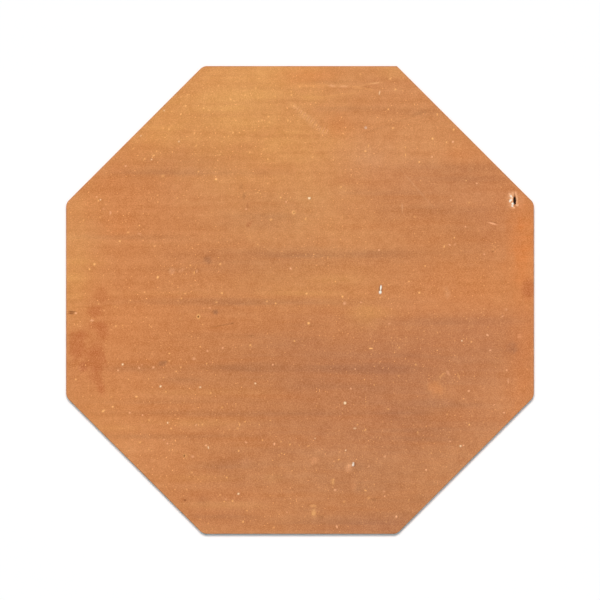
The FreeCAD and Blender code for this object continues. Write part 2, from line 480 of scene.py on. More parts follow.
# Pale and golden grains, in the same order
OCHRE = several(
    fleck, Tone.OCHRE,
    (-88.8, 14.3, 1.15, 1, 1.4), (-128.3, 22.3, 1.6, 0.95, 0.75, 25), (-125.8, 62, 0.85, 0.95),
    (-79.7, 92.3, 0.85, 0.75), (74.4, 86.1, 1, 0.95), (96.3, 38.9, 0.95, 0.85), (25.9, 114, 0.75, 0.75),
    (7.6, 88.9, 0.95, 0.45), (-20, 87.9, 0.95, 0.75), (-63.4, 80.1, 0.95, 0.75), (-100.2, 46.5, 0.95, 0.75),
    (-50.9, 26.5, 0.85, 0.7), (-105.8, -0.2, 0.85, 0.8), (-133.8, -40.6, 0.75, 0.8),
    (-116.8, -66.6, 1.1, 0.95), (75.4, 74.5, 0.95, 0.3), (103.7, 74.5, 0.75, 0.7),
    (-9.7, -96.3, 0.75, 0.75), (120.6, 31.4, 0.85, 0.4), (40.3, -49.6, 0.75, 0.75),
    (-60.1, 119.8, 1.15, 0.75), (-43.3, 125.2, 1.95, 0.6, 0.45, -45), (-34.3, 127.9, 1.05, 0.55),
    (-15.5, 127.1, 1, 0.55), (-19.7, 114.4, 1.15, 0.7), (-23.6, 112, 1, 0.55), (-19.1, 110.9, 1.2, 0.45),
    (-7.6, 112, 0.85, 0.55, 2.2), (-41.8, 104.4, 1.2, 0.6), (-37.8, 104.4, 1.05, 0.65),
    (-28.2, 106.1, 0.9, 0.55), (-22.5, 94.1, 1.05, 0.45), (-31.5, 92.1, 1.15, 0.5), (9.8, 123.1, 1, 0.55),
    (-5.3, 128, 1.15, 0.8), (-5.6, 130.3, 0.95, 0.55), (59.6, 131.5, 1.05, 0.75), (56.3, 138.1, 1.05, 0.65),
    (37.8, 141, 1.05, 0.55), (55.1, 119, 1.05, 0.75), (56.9, 112.4, 0.85, 0.45),
    (58.1, 107.3, 1.45, 0.65, 0.7), (85.7, 115.8, 0.9, 0.7, 1.6), (95.9, 106.4, 1.2, 0.85),
    (82.7, 100.7, 1.15, 0.95, 1.2), (91.5, 98.4, 1, 0.75), (40.8, 92.9, 1.45, 0.75, 0.7),
    (42.7, 96.4, 0.85, 0.55, 1.5), (65.9, 95.2, 0.75, 0.55, 1.8), (65.8, 90.6, 0.75, 0.6, 2.2),
    (27, 103.9, 1, 0.55), (-81.8, 106.5, 1.15, 0.65), (-84.3, 101.4, 0.9, 0.5), (-66, 104.1, 1.2, 0.5),
    (-64.8, 96.3, 1.95, 0.5, 0.5, 40), (-65.1, 91.4, 0.9, 0.4), (-91.3, 90.2, 1.8, 0.7, 0.5, 28),
    (-97, 88, 1, 0.65), (-104.2, 94.4, 1.5, 0.45, 0.6, 30), (-52.4, 75.4, 1.35, 1), (-12.1, 64, 1.2, 0.7),
    (-18.1, 50.2, 1.5, 0.5), (-24.8, 66.4, 0.9, 0.55), (-85.5, 77.4, 1.8, 0.4), (-124.8, 51.7, 0.9, 0.6),
    (-135, 49.7, 0.9, 0.55), (-107.3, 42.2, 1, 0.75), (25.6, 70.5, 0.95, 0.85), (20.6, 87.3, 0.9, 0.45),
    (105.5, 60.7, 1, 0.45), (71.8, 51.9, 1, 0.45), (3.5, 50.6, 0.85, 0.55, 2.4), (26.5, 51.2, 0.75, 0.45),
    (-112.4, 36.8, 1.3, 0.7), (-131.3, 19.2, 1.15, 0.9), (-90.7, 33.7, 1.05, 0.5), (-68.4, 21.6, 1, 0.75),
    (-49.7, 22.5, 1.3, 0.6), (-26.4, 34.5, 1.35, 0.4, 0.6, -45), (25.2, 37.9, 0.9, 0.5),
    (22.2, 11.5, 0.9, 0.6), (4.1, 4, 1.2, 0.75, 0.8), (26.5, 2.2, 1.3, 0.8), (68, 11.7, 1, 0.65),
    (74.5, 4.6, 1.5, 0.85, 0.7), (90, 33.4, 0.95, 0.7, 1.7), (78.1, 21.3, 1, 0.65),
    (-48.7, 4.3, 1.45, 0.75, 0.7, -35), (-74, 1, 1, 0.6), (-71.8, 4, 1.5, 0.4, 0.5),
    (-52.1, -1.4, 1.2, 0.5), (-20.6, -0.8, 1, 0.55), (-15.2, -2.1, 1.05, 0.75), (50.1, 1.6, 0.9, 0.5),
    (-125.6, -2.5, 1, 0.55), (-115.4, -4, 1, 0.5), (-114.9, -16.2, 1.15, 0.65), (-110.8, -15.9, 0.85, 0.5),
    (-60.7, -15.3, 0.9, 0.5), (-74.9, -11.5, 0.9, 0.4), (-62.2, -29.1, 1, 0.6),
    (-81.5, -33.3, 1.2, 0.75, 0.8), (-81.6, -37.9, 1.5, 0.5, 0.6), (-58.2, -39.7, 1.05, 0.55),
    (-31, -28.2, 1.15, 0.8), (5.3, -14.5, 1.45, 0.85), (-3.4, -25.6, 1.2, 0.7, 0.8),
    (44.2, -30.2, 2.4, 1, 0.3), (61.9, -29.8, 1.15, 0.55, 0.8), (85.6, -31.4, 0.75, 0.7),
    (106.9, -26.1, 0.9, 0.65), (77.4, -19.5, 0.9, 0.4), (-74.5, -42.1, 1.05, 0.55),
    (-77.3, -44.6, 1.3, 0.55, 0.6, 30), (-107, -49.5, 0.85, 0.5), (-94.5, -49.2, 0.85, 0.45),
    (-85.1, -48.4, 0.9, 0.55), (-55.8, -58.1, 1, 0.6), (-83.7, -57.2, 1, 0.55), (-139.9, -49.5, 1.15, 0.55),
    (-102.1, -60.3, 1.35, 0.75), (-122.7, -69.2, 1.95, 0.85, 0.6, 35), (-94.2, -74.9, 1.15, 0.55),
    (-98.6, -75.8, 0.9, 0.4), (-80.4, -80.2, 1.2, 0.65), (-117.6, -60.5, 1.5, 0.4, 0.6),
    (-48.7, -67.1, 1.15, 0.5), (-37.6, -77.7, 0.75, 0.65, 2.2), (-38.8, -80, 1.5, 0.4),
    (-60.9, -77.7, 1, 0.55), (-18.5, -75.1, 0.9, 0.45), (72.2, -40.3, 1.2, 0.55), (61.6, -47.1, 1.2, 0.35),
    (46.3, -53, 0.9, 0.5), (55.1, -68.2, 1.05, 0.45), (35.9, -77.8, 0.9, 0.6), (91.9, -71.4, 1.2, 0.4),
    (105.6, -77.8, 0.75, 0.85, 1.8, -20), (-99.8, -88.8, 1.35, 0.5), (-94.4, -93, 1.15, 0.4),
    (40.7, -81.2, 1.65, 0.6, 0.5, 30), (73.5, -82.7, 1.4, 0.3), (-38.3, -94.1, 1.05, 0.75),
    (-6.3, -90.2, 1.15, 0.55), (5.1, -91.1, 1.2, 0.45), (24.1, -99.6, 1.5, 0.65, 0.5, 45),
    (82, -95.6, 1.15, 0.45, 0.6, -50), (20.5, -113.3, 1.9, 0.38, 1.9), (40.9, -118.8, 1.65, 0.75, 0.5, -35),
    (-42.1, -125.4, 1.15, 0.6), (-33.1, -131.4, 1, 0.55), (-35.5, -138.4, 1.3, 0.65),
    (27.5, -125.9, 1.15, 0.45), (8.6, -132.8, 2.7, 0.36, 1.5), (7.8, -133.6, 1, 0.5),
    (-16.4, -142, 1.2, 0.4), (68, -124.9, 1.2, 0.4), (-57.2, 118.6, 0.85, 0.6), (-41.1, 124.3, 0.85, 0.5),
    (-27.6, 132.1, 1.15, 0.5), (-71.3, 121.2, 1.05, 0.8), (-70.2, 128, 0.95, 0.7),
    (-77.2, 127.4, 0.95, 0.8), (-80.1, 117.6, 0.85, 0.6), (-74.4, 116, 1.2, 0.8, 0.7, 50),
    (-44.7, 102, 1.15, 0.45), (-48.7, 98.8, 0.95, 0.5), (-20.3, 108.7, 0.95, 0.3), (-89.5, 92.9, 0.85, 0.6),
    (-49.9, 90.7, 0.85, 0.55), (-26.3, 67.1, 0.85, 0.75), (-76.7, 63.7, 0.85, 0.55),
    (-34.3, -75.9, 0.85, 0.7), (-23.4, -87.4, 0.95, 0.65), (-11.9, -88.4, 0.95, 0.5),
    (-11.4, -95.7, 0.75, 0.6), (-17.1, -100, 0.75, 0.6), (-5, -106.6, 0.75, 0.6),
    (-45.7, -110.8, 1.15, 0.55), (-49.9, -121.7, 0.85, 0.6), (-47.3, -125.8, 0.85, 0.6),
    (-67.6, -107.6, 1.05, 0.5), (-52, -74.9, 0.85, 0.55), (-25.4, -77.8, 0.85, 0.55),
    (-62.4, -136.8, 0.85, 0.5), (-57.2, -139.4, 0.85, 0.5), (8.4, -128.4, 4.25, 0.3, 0.35),
    (42.9, -123.5, 1.8, 0.3),
)

# Pinkish grains of ground brick, in the same order
BLUSH = several(
    fleck, Tone.BLUSH,
    (-139.9, -8.2, 1.4, 0.8, 0.7, -15), (-98.3, -71.8, 0.95, 0.9), (95.4, 98.7, 1.1, 0.9),
    (82.4, 89.3, 1.05, 0.65), (110.3, 72.7, 1.1, 0.65), (94.2, 62.2, 1.1, 0.65), (-33.6, 56.7, 1, 0.6),
    (-8.7, 61.2, 1.05, 0.65), (-126.9, 64.5, 0.95, 0.5), (-122.5, 56.9, 1.1, 0.5),
    (-118.3, 54.4, 1.1, 0.55, 2), (-100.3, 41.3, 2.35, 0.4, 0.5, -20), (-108.8, 83.6, 1.05, 0.6),
    (103.3, 45.7, 1.3, 0.65, 0.5, -50), (93.3, 34.5, 1.5, 0.7, 0.5, -45), (96.7, 34.8, 1.1, 0.5),
    (49.3, 31.2, 1.05, 0.7), (-5.9, 19.7, 1.3, 0.95, 0.6, -50), (27.8, -2.2, 1.85, 0.55),
    (38, -1.4, 1.3, 0.6, 0.6, -45), (-56.1, -5.1, 1.1, 0.5), (-129.8, -12.7, 1.9, 0.65, 0.6),
    (-57.8, -31.8, 1.05, 0.6), (-48.2, -29.9, 1.2, 0.65), (-66.2, -36.6, 1.75, 0.4),
    (-91.5, -42, 1.3, 0.65), (-100.4, -42.3, 0.75, 0.65, 2.4, 25), (-98.6, -40.5, 0.9, 0.5),
    (-113.5, -43.9, 0.9, 0.55, 1.6), (-17, -40.4, 1.05, 0.65), (55.6, -14.9, 1.05, 0.45),
    (34.4, -43, 0.95, 0.7), (31.7, -55.2, 1.1, 0.6), (117, -21.9, 1.6, 0.75, 0.7, -25),
    (118.8, -31.3, 1.3, 0.7, 0.7, 30), (128.7, -6.1, 1.2, 0.5), (126.4, -10.2, 1.3, 0.6, 0.6, 30),
    (105.3, -56.7, 1.6, 0.65, 0.7), (129, -43.8, 0.95, 0.65), (127.4, -70.3, 1.1, 0.65),
    (121.1, -65.5, 1.6, 0.55, 0.4, 40), (129.9, -50.6, 0.75, 0.5, 5), (-106.3, -70.4, 1.05, 0.65),
    (-84.9, -87.2, 1.05, 0.55), (-82.8, -89.5, 0.95, 0.8), (-64.8, -78, 1.45, 0.55, 0.6, 40),
    (-58.8, -90.7, 1.1, 0.65), (-67, -97.7, 1.75, 0.4), (-33.6, -88.9, 1.6, 0.65, 0.5, -40),
    (-16, -89.9, 0.95, 0.85, 1.7), (-46.3, -124.2, 1.3, 0.3), (-8.1, -132.5, 0.95, 0.55),
    (93.5, -88.1, 1.2, 0.5), (42.9, -103.8, 1.2, 0.45), (52.4, -119.4, 1.3, 0.45, 0.7, -30),
    (21.9, -118.5, 1.6, 0.6, 0.7), (52.8, -122.4, 0.85, 0.8), (78.7, -106, 0.95, 0.9),
    (102, -90.8, 0.95, 0.75), (8.9, -100.4, 4.9, 0.15, 0.9, 30), (-33.8, -100.9, 5.65, 0.1),
    (115, 28.5, 1.05, 0.6), (60.1, -135.1, 1.3, 0.9), (23, -141.5, 0.95, 0.8, 2, 20),
    (53, -97.7, 1.3, 0.45),
)

# Scrapes and scuffs: pale lines near the top side, the hatched rub under them, and small nicks
SCUFFS = (
    *several(
        scratch, Tone.OCHRE,
        ((-9.4, 132.4), (14.4, 134.6), 2.2, 0.15), ((15, 134), (33, 133.4), 1.5, 0.1),
        ((31, 133.4), (41, 131.9), 1.2, 0.2), ((40.2, 132), (46.2, 131.1), 1.1, 0.22),
        ((37.6, 134), (52.2, 136.2), 1.2, 0.18), ((13.6, 126.8), (40.4, 130), 1.4, 0.14),
        ((86.4, -48.8), (90.6, -45.2), 1.2, 0.26), ((98.2, -45), (99.8, -49.6), 0.9, 0.26),
    ),
    *several(
        scratch, Tone.BLUSH,
        ((18.2, 133.9), (22, 133.5), 1.4, 0.42), ((24.8, 133.5), (29.6, 133.2), 1.1, 0.36),
        ((44.4, 135), (49.4, 135.7), 0.9, 0.32), ((117.6, 48.4), (122.9, 47), 1, 0.72),
        ((91.6, -43.8), (93.2, -47.4), 1.1, 0.45), ((95.4, -33), (101.4, -43.4), 2.2, 0.06),
    ),
    *several(
        Mark, Tone.GOLD,
        (8, 125.8, 13, 3.4, 0, 0.4, 0.7, 0.5), (84.6, -55.4, 10.5, 6.8, -25, 0.36, 0.5, 0.7),
    ),
    *several(
        Mark, Tone.OCHRE,
        (-4.3, 121.2, 4.6, 2, -30, 0.2, 0.4, 0.5), (85, -55, 9, 5.6, -25, 0.06, 0.5, 0.7),
    ),
    *several(
        Mark, Tone.BLUSH,
        (-3.8, 120.8, 3.4, 2, -30, 0.26, 0.4, 0.5), (31, -103.4, 2.6, 1.8, 30, 0.36, 0.6, 0.5),
        (30.2, -105, 3.2, 5.4, 0, 0.26, 0.6, 0.6), (33.4, -116, 3, 4.5, 0, 0.08, 0.6, 0.5),
        (137.2, -22.6, 3, 3, 0, 0.18, 0.6, 0.4),
    ),
    *several(
        Mark, Tone.DUST,
        (5, 113.2, 20, 4, -42, 0.1, 0.7, 0.5), (91.9, 4.5, 2.6, 6.4, 5, 0.16, 0.6, 0.4),
    ),
    *rub(Tone.BLUSH, (-1.4, 119.4), (11.2, 107.6), 7, 3.4, 58, 0.3),
    *rub(Tone.BLUSH, (12.4, 106.8), (17, 105.4), 3, 3.8, 66, 0.4),
    *rub(Tone.OCHRE, (-0.4, 118.4), (10.2, 108.6), 6, 3.4, 58, 0.28),
    *rub(Tone.OCHRE, (13.6, 106.4), (15.9, 105.4), 2, 3.6, 66, 0.38),
    scratch(Tone.EMBER, (117.8, 48.3), (122.9, 47), 1, 0.9),
    # A dark line of painted shade along the upper side of the pale scratch
    scratch(Tone.UMBER_AND_SHADE, (118.2, 49.1), (123.2, 48.1), 0.7, 0.18),
    *several(
        scratch, Tone.DUST,
        ((63.8, 80.4), (81.1, 60.1), 0.9, 0.16), ((63.7, 60.5), (63.9, 54.5), 0.8, 0.22),
    ),
    *several(
        Mark, Tone.EMBER,
        (8.9, -100.4, 5.2, 4.7, 30, 0.4, 0.5, 0.5), (30.2, -105, 3.4, 5.8, 0, 0.55, 0.6, 0.6),
        (33, -116.2, 3.2, 4.6, 0, 0.4, 0.6, 0.5), (84.6, -55.2, 9.6, 6.4, -35, 0.75, 0.5, 0.7),
        (137.2, -22.6, 3.2, 3.2, 0, 0.6, 0.6, 0.4),
    ),
)

# Blisters: low domes where gas lifted the skin, and small burst ones with a pin hole, painted near-black as
# shade over a small dip
BLISTERS = (
    Mark(Tone.DUST, -80, 17.8, 3.8, 3.8, 0, 0.26, 0.35, 0.2, 0.18),
    Mark(Tone.EMBER, -80, 17.8, 3.8, 3.8, 0, 0.4, 0.35, 0.2),
    Mark(Tone.RUST, -79.7, 17.9, 1.8, 1.8, 0, 0.26, 0.5, 0.2, -0.08),
    *several(
        Mark, Tone.UMBER_AND_SHADE,
        (-81.4, 19.4, 3.4, 0.8, 45, 0.16, 0.5, 0.2), (-76.8, 18.1, 0.9, 2.4, 25, 0.18, 0.6, 0.2),
        (-65.2, 17.5, 0.5, 2.2, -12, 0.3, 0.4, 0.1, -0.05), (-63.5, 18.6, 0.6, 2.4, -12, 0.2, 0.5, 0.1),
        # The next three marks are the pin holes: near-black painted shade over small dips
        (-63.4, -10.4, 1.1, 1.2, 0, 0.95, 0.3, 0.1, -0.35), (-3.8, 54.6, 0.9, 0.9, 0, 0.45, 0.4, 0.1, -0.2),
        (-72.2, -97.2, 0.8, 1.6, 0, 0.95, 0.3, 0.1, -0.25),
    ),
    *several(
        Mark, Tone.BLUSH,
        (-75.1, 17.9, 1.5, 1.2, -30, 0.28, 0.5, 0.2, 0.08), (-73.3, 19, 1.2, 2, 0, 0.24, 0.5, 0.2, 0.08),
        (-64.4, 17.9, 1.2, 2, -12, 0.36, 0.35, 0.1, 0.12),
    ),
    *several(
        Mark, Tone.OCHRE,
        (-66, 17, 1, 2, -12, 0.5, 0.35, 0.1, 0.12), (-63.4, -10.4, 2.5, 2.8, 0, 0.6, 0.35, 0.1, 0.12),
        (-4, 54.6, 2.5, 2.5, 0, 0.52, 0.35, 0.2, 0.1), (-71.9, -97.2, 2.4, 2.4, 0, 0.34, 0.4, 0.1, 0.08),
    ),
)

# The blow hole at the right: its slit, the crack above it and the white chips round it. The near-black slit
# and the dark marks in the crack are painted shade.
BLOW_HOLE = (
    Mark(Tone.EMBER, 137.6, 62, 4.6, 9, 0, 0.15, 0.8, 0.3),
    *several(
        Mark, Tone.BLUSH,
        (137.6, 62, 4.6, 9, 0, 0.15, 0.8, 0.3), (132.9, 65.6, 6.4, 4.4, 0, 0.34, 0.6, 0.4, -0.08),
        (132.4, 61.8, 5.2, 8.6, 0, 0.4, 0.5, 0.4, -0.12), (132.4, 62.2, 1.6, 4.6, 0, 0.55, 0.5, 0.3, -0.2),
        (135.3, 62.4, 0.9, 5, 0, 1, 0.35, 0.1, 0.05), (134.6, 66.3, 0.8, 2.6, 8, 0.7, 0.5, 0.2),
        (133.1, 66, 0.9, 2, 0, 0.45, 0.5, 0.2), (135.5, 59.2, 1.9, 1.3, 0, 0.85, 0.4, 0.2, -0.15),
        (133.4, 57.7, 1.6, 0.9, -30, 0.9, 0.4, 0.2, -0.15),
        (130.9, 66, 1.6, 1.4, -40, 0.75, 0.4, 0.3, -0.15),
    ),
    # Dark marks in the crack and beside the slit: painted shade over sunk clay
    *several(
        Mark, Tone.UMBER_AND_SHADE,
        (133.8, 65.4, 0.8, 2.2, 0, 0.6, 0.4, 0.2, -0.6), (132.1, 61.3, 0.8, 1.2, 0, 0.4, 0.4, 0.2, -0.4),
        (134.3, 58.7, 1.6, 1, 0, 0.3, 0.5, 0.2, -0.3),
    ),
    *several(
        Mark, Tone.LIME,
        (131.7, 64.8, 1.2, 1.6, 15, 0.7, 0.4, 0.4, -0.3), (132.3, 64, 0.8, 1.4, 0, 0.35, 0.5, 0.3, -0.3),
        (131.6, 62.5, 1.5, 1.3, 20, 0.8, 0.35, 0.3, -0.35), (131, 61.7, 1.2, 1.4, 0, 0.8, 0.35, 0.3, -0.35),
        (132.7, 60.1, 1.5, 1.4, 0, 1, 0.3, 0.2, -0.35),
        (132.5, 58.7, 1.3, 1.2, -20, 0.75, 0.35, 0.2, -0.25),
    ),
    # The slit: near-black painted shade over a hole sunk 4 mm
    Mark(Tone.SHADED_HOLE, 133.95, 62.1, 1.75, 5, 0, 1, 0.14, 0.05, -4),
)

# Where grains lie closer at the face, as clouds
CROWDS = several(
    flash, Tone.CROWD,
    (-60, 100, 120, 60, 0.6), (-95, 10, 90, 120, 0.45), (-80, -90, 80, 70, 0.7), (4, 112, 90, 50, 0.8),
)

MARKS = (
    *FLASHES,
    *FLAMES,
    *STAINS,
    *SPOTS,
    *LIME,
    *CREAM,
    *OCHRE,
    *BLUSH,
    *SCUFFS,
    *BLISTERS,
    *BLOW_HOLE,
    *CROWDS,
)


@dataclass(frozen=True)
class Grit:
    """Grains scattered through the clay, as spheres that the face cuts through.

    Attributes:
        spacing: about how far apart they lie.
        radius: how large the grains are.
        colour: what colour they are.
        strength: how far the brightest of them stand out, from 0 to 1.
        rise: how far they stand up from the face.
    """

    spacing: float
    radius: float
    colour: str
    strength: float
    rise: float


@dataclass(frozen=True)
class FiredClay:
    """Unglazed terracotta, extruded, wire-cut and fired in an open kiln.

    Iron gives the orange body, lime in the clay turns it gold where the fire was hot and airy, and smoke
    turns it brown. The face is dry and sandy, so it has almost no shine, and every grain shows. A pattern
    here is noise from 0 to 1, and its detail is how many times finer noise is added to it.

    Attributes:
        body: the clay in the darker streaks.
        body_pale: the clay in the paler streaks.
        sand: the grains that make the face look sandy.
        cut: the palest clay on the cut sides and the back.
        pore_shade: the inside of the pores there, painted darker as shade.
        tones: the colour of each tone that is laid over the clay.
        broken: how much of a tone shows at the lowest and at the highest of the pattern that breaks it up.
        streaks: width and length of each kind of streak.
        streak_detail: detail of their patterns.
        streak_reach: how far from its middle the patterns' sum is when the streaks are darkest and palest.
        grain: size of the sand as it is drawn, and its detail.
        grain_range: the pattern between the grains and on top of them.
        grain_depth: how far the grains lighten the clay.
        grain_dip: how far the ground between them darkens it, as a share of that.
        grain_rise: how far the sand stands up.
        mottle: size of the soft patches, and their detail.
        mottle_range: the pattern in dark and in pale patches.
        mottle_depth: how far they darken and lighten the clay.
        grits: what is scattered through the clay.
        grit_edge: where a grit begins to show and where it is full, as shares of its radius.
        grit_rarity: how few of the grits are bright, as a power.
        drift: how large the strays in the grits' outlines are, and how far they go.
        cluster: size of the patches with more and with fewer grits, and their detail.
        cluster_range: the pattern where grits are faintest and where they are brightest.
        cluster_share: how much of their strength they have there.
        drag: height and length of the lines that the cutting wire dragged round the sides, and how far they
            stand out.
        drag_detail: detail of their pattern.
        cut_streak: how much the streaks tell on the cut faces.
        pores: how far apart the pores are, how large and how deep.
        roughness: of the smoothest and the roughest patches.
        specular: how much it shines, which is little, because the sand breaks up the reflection.
    """

    body: str = "#C87F4B"
    body_pale: str = "#D28C58"
    sand: str = "#E9A36C"
    cut: str = "#D6935F"
    pore_shade: str = "#8A4E2A"
    tones: tuple[tuple[Tone, str], ...] = (
        (Tone.GOLD, "#E2A45D"),
        (Tone.EMBER, "#DB8447"),
        (Tone.SMOKE, "#A26A48"),
        (Tone.BLOOM, "#B67A6E"),
        (Tone.RUST, "#B66134"),
        (Tone.DUST, "#ECBB8E"),
        (Tone.BLUSH, "#FABC8C"),
        (Tone.OCHRE, "#FCBE76"),
        (Tone.CREAM, "#FFE4B8"),
        # Dark clay, and painted shade in pits, pin holes and cracks
        (Tone.UMBER_AND_SHADE, "#7A421F"),
        (Tone.LIME, "#FFF9E8"),
        # Near-black painted shade for the inside of the blow hole
        (Tone.SHADED_HOLE, "#180301"),
    )
    broken: tuple[float, float] = (0.65, 1.35)
    streaks: tuple[tuple[float, float], ...] = ((3.0, 55.0), (7.0, 110.0))
    streak_detail: float = 3.0
    streak_reach: float = 0.35
    # The sand is drawn about twice as coarse as it is, because finer grains wouldn't show in the picture
    grain: tuple[float, float] = (0.58, 2.0)
    grain_range: tuple[float, float] = (0.38, 0.75)
    grain_depth: float = 0.44
    grain_dip: float = 0.48
    grain_rise: float = 0.05
    mottle: tuple[float, float] = (6.0, 1.5)
    mottle_range: tuple[float, float] = (0.25, 0.75)
    mottle_depth: float = 0.11
    grits: tuple[Grit, ...] = (
        Grit(spacing=1.8, radius=0.35, colour="#FFBE7A", strength=0.75, rise=0.010),
        Grit(spacing=4.2, radius=0.50, colour="#FFBE7A", strength=0.40, rise=0.020),
    )
    grit_edge: tuple[float, float] = (1.25, 0.6)
    grit_rarity: float = 3.0
    drift: tuple[float, float] = (1.0, 0.35)
    cluster: tuple[float, float] = (36.0, 1.0)
    cluster_range: tuple[float, float] = (0.3, 0.7)
    cluster_share: tuple[float, float] = (0.3, 1.1)
    drag: tuple[float, float, float] = (1.1, 27.5, 0.10)
    drag_detail: float = 2.0
    cut_streak: float = 0.3
    pores: tuple[float, float, float] = (6.0, 0.7, 0.35)
    roughness: tuple[float, float] = (0.78, 0.95)
    specular: float = 0.15

    def material(self) -> bpy.types.Material:
        """Makes the material.

        Returns:
            The material, which reads the layers that the tile's marks are painted on.
        """
        material = bpy.data.materials.new("Fired terracotta, unglazed")
        material.use_nodes = True
        tree = material.node_tree
        tree.nodes.clear()
        place = add_node(tree, "TexCoord").outputs["Object"]
        grain, mottle = (
            add_node(
                tree, "TexNoise", {}, {"Vector": place, "Scale": per_mm(size), "Detail": detail}
            ).outputs[0]
            for size, detail in (self.grain, self.mottle)
        )
        streak = self.drawn_streaks(tree, place)

        clay = {0: streak, MIX_FROM: linear(self.body), MIX_TO: linear(self.body_pale)}
        colour = add_node(tree, "Mix", COLOURS, clay).outputs[MIXED]
        height = add_node(tree, "Math", MULTIPLY, {0: grain, 1: self.grain_rise}).outputs[0]
        colour, height = self.cut_faces(tree, place, streak, colour, height)
        colour = self.layers(tree, colour, streak, mottle)
        colour = self.sandy(tree, colour, grain, mottle)
        colour, height = self.scatter(tree, place, colour, height)

        low, high = self.roughness
        rough = add_node(tree, "MapRange", {}, {"Value": mottle, "To Min": low, "To Max": high}).outputs[0]
        bump = add_node(tree, "Bump", {}, {"Strength": 1.0, "Distance": MM, "Height": height}).outputs[0]
        shader = add_node(
            tree,
            "BsdfPrincipled",
            {},
            {"Base Color": colour, "Roughness": rough, "Specular IOR Level": self.specular, "Normal": bump},
        ).outputs[0]
        add_node(tree, "OutputMaterial", {}, {"Surface": shader})
        return material

    def drawn_streaks(self, tree: Tree, place: Socket) -> Socket:
        """Fine streaks along X, the way that the clay was drawn through the die.

        Args:
            tree: the material's nodes.
            place: the Object coordinates.

        Returns:
            A factor from 0 to 1, about 0.5 on average.
        """
        total = 0.0
        for width, length in self.streaks:
            squeeze = (width / length, 1.0, 1.0)
            drawn = add_node(tree, "Mapping", {}, {"Vector": place, "Scale": squeeze}).outputs[0]
            pattern = {"Vector": drawn, "Scale": per_mm(width), "Detail": self.streak_detail}
            layer = add_node(tree, "TexNoise", {}, pattern).outputs[0]
            total = add_node(tree, "Math", ADD, {0: layer, 1: total}).outputs[0]
        middle = len(self.streaks) / 2
        low, high = middle - self.streak_reach, middle + self.streak_reach
        return add_node(
            tree, "MapRange", {}, {"Value": total, "From Min": low, "From Max": high}
        ).outputs[0]

    def cut_faces(
        self, tree: Tree, place: Socket, streak: Socket, colour: Socket, height: Socket
    ) -> tuple[Socket, Socket]:
        """Turns the sides and the back to cut clay, with pores and the level drag lines of the wire.

        Args:
            tree: the material's nodes.
            place: the Object coordinates.
            streak: the fine streaks, which the back shows too.
            colour: the colour so far.
            height: the height so far, in millimetres.

        Returns:
            The colour and the height with the cut faces in them.
        """
        painted = add_node(tree, "Attribute", {"attribute_name": CUT_LAYER}).outputs["Fac"]
        line, length, rise = self.drag
        squeeze = (line / length, line / length, 1.0)
        level = add_node(tree, "Mapping", {}, {"Vector": place, "Scale": squeeze}).outputs[0]
        pattern = {"Vector": level, "Scale": per_mm(line), "Detail": self.drag_detail}
        drag = add_node(tree, "TexNoise", {}, pattern).outputs[0]
        middle = -self.cut_streak / 2
        pale = add_node(tree, "Math", MULTIPLY_ADD, {0: streak, 1: self.cut_streak, 2: middle}).outputs[0]
        pale = add_node(tree, "Math", ADD | CLAMP, {0: pale, 1: drag}).outputs[0]
        bare = {0: pale, MIX_FROM: linear(self.body), MIX_TO: linear(self.cut)}
        clay = add_node(tree, "Mix", COLOURS, bare).outputs[MIXED]

        # Pores: painted darker inside as shade, and sunk in the height as well
        spacing, radius, depth = self.pores
        edge = radius / spacing
        cells = add_node(tree, "TexVoronoi", {}, {"Vector": place, "Scale": per_mm(spacing)})
        rim = {"Value": cells.outputs["Distance"], "From Min": edge, "From Max": edge / 2}
        shaded_hole = add_node(tree, "MapRange", SMOOTH, rim).outputs[0]
        porous = {0: shaded_hole, MIX_FROM: clay, MIX_TO: linear(self.pore_shade)}
        clay = add_node(tree, "Mix", COLOURS, porous).outputs[MIXED]

        relief = add_node(tree, "Math", MULTIPLY, {0: drag, 1: rise}).outputs[0]
        relief = add_node(tree, "Math", MULTIPLY_ADD, {0: shaded_hole, 1: -depth, 2: relief}).outputs[0]
        height = add_node(tree, "Math", MULTIPLY_ADD, {0: relief, 1: painted, 2: height}).outputs[0]
        both = {0: painted, MIX_FROM: colour, MIX_TO: clay}
        return add_node(tree, "Mix", COLOURS, both).outputs[MIXED], height

    def layers(self, tree: Tree, colour: Socket, streak: Socket, mottle: Socket) -> Socket:
        """Lays the tones over the clay, one after another.

        Args:
            tree: the material's nodes.
            colour: the colour of the bare clay.
            streak: the fine streaks, which break up what the kiln laid down.
            mottle: the soft patches, which break up what came later.

        Returns:
            The colour with every tone on it.
        """
        low, high = self.broken
        breaks = {}
        for pattern, *tones in ((streak, Tone.GOLD, Tone.EMBER, Tone.SMOKE), (mottle, Tone.RUST, Tone.DUST)):
            share = {"Value": pattern, "To Min": low, "To Max": high}
            breaks.update(dict.fromkeys(tones, add_node(tree, "MapRange", {}, share).outputs[0]))
        for tone, code in self.tones:
            amount = add_node(tree, "Attribute", {"attribute_name": tone.value}).outputs["Fac"]
            if tone in breaks:
                amount = add_node(tree, "Math", MULTIPLY | CLAMP, {0: amount, 1: breaks[tone]}).outputs[0]
            laid = {0: amount, MIX_FROM: colour, MIX_TO: linear(code)}
            colour = add_node(tree, "Mix", COLOURS, laid).outputs[MIXED]
        return colour

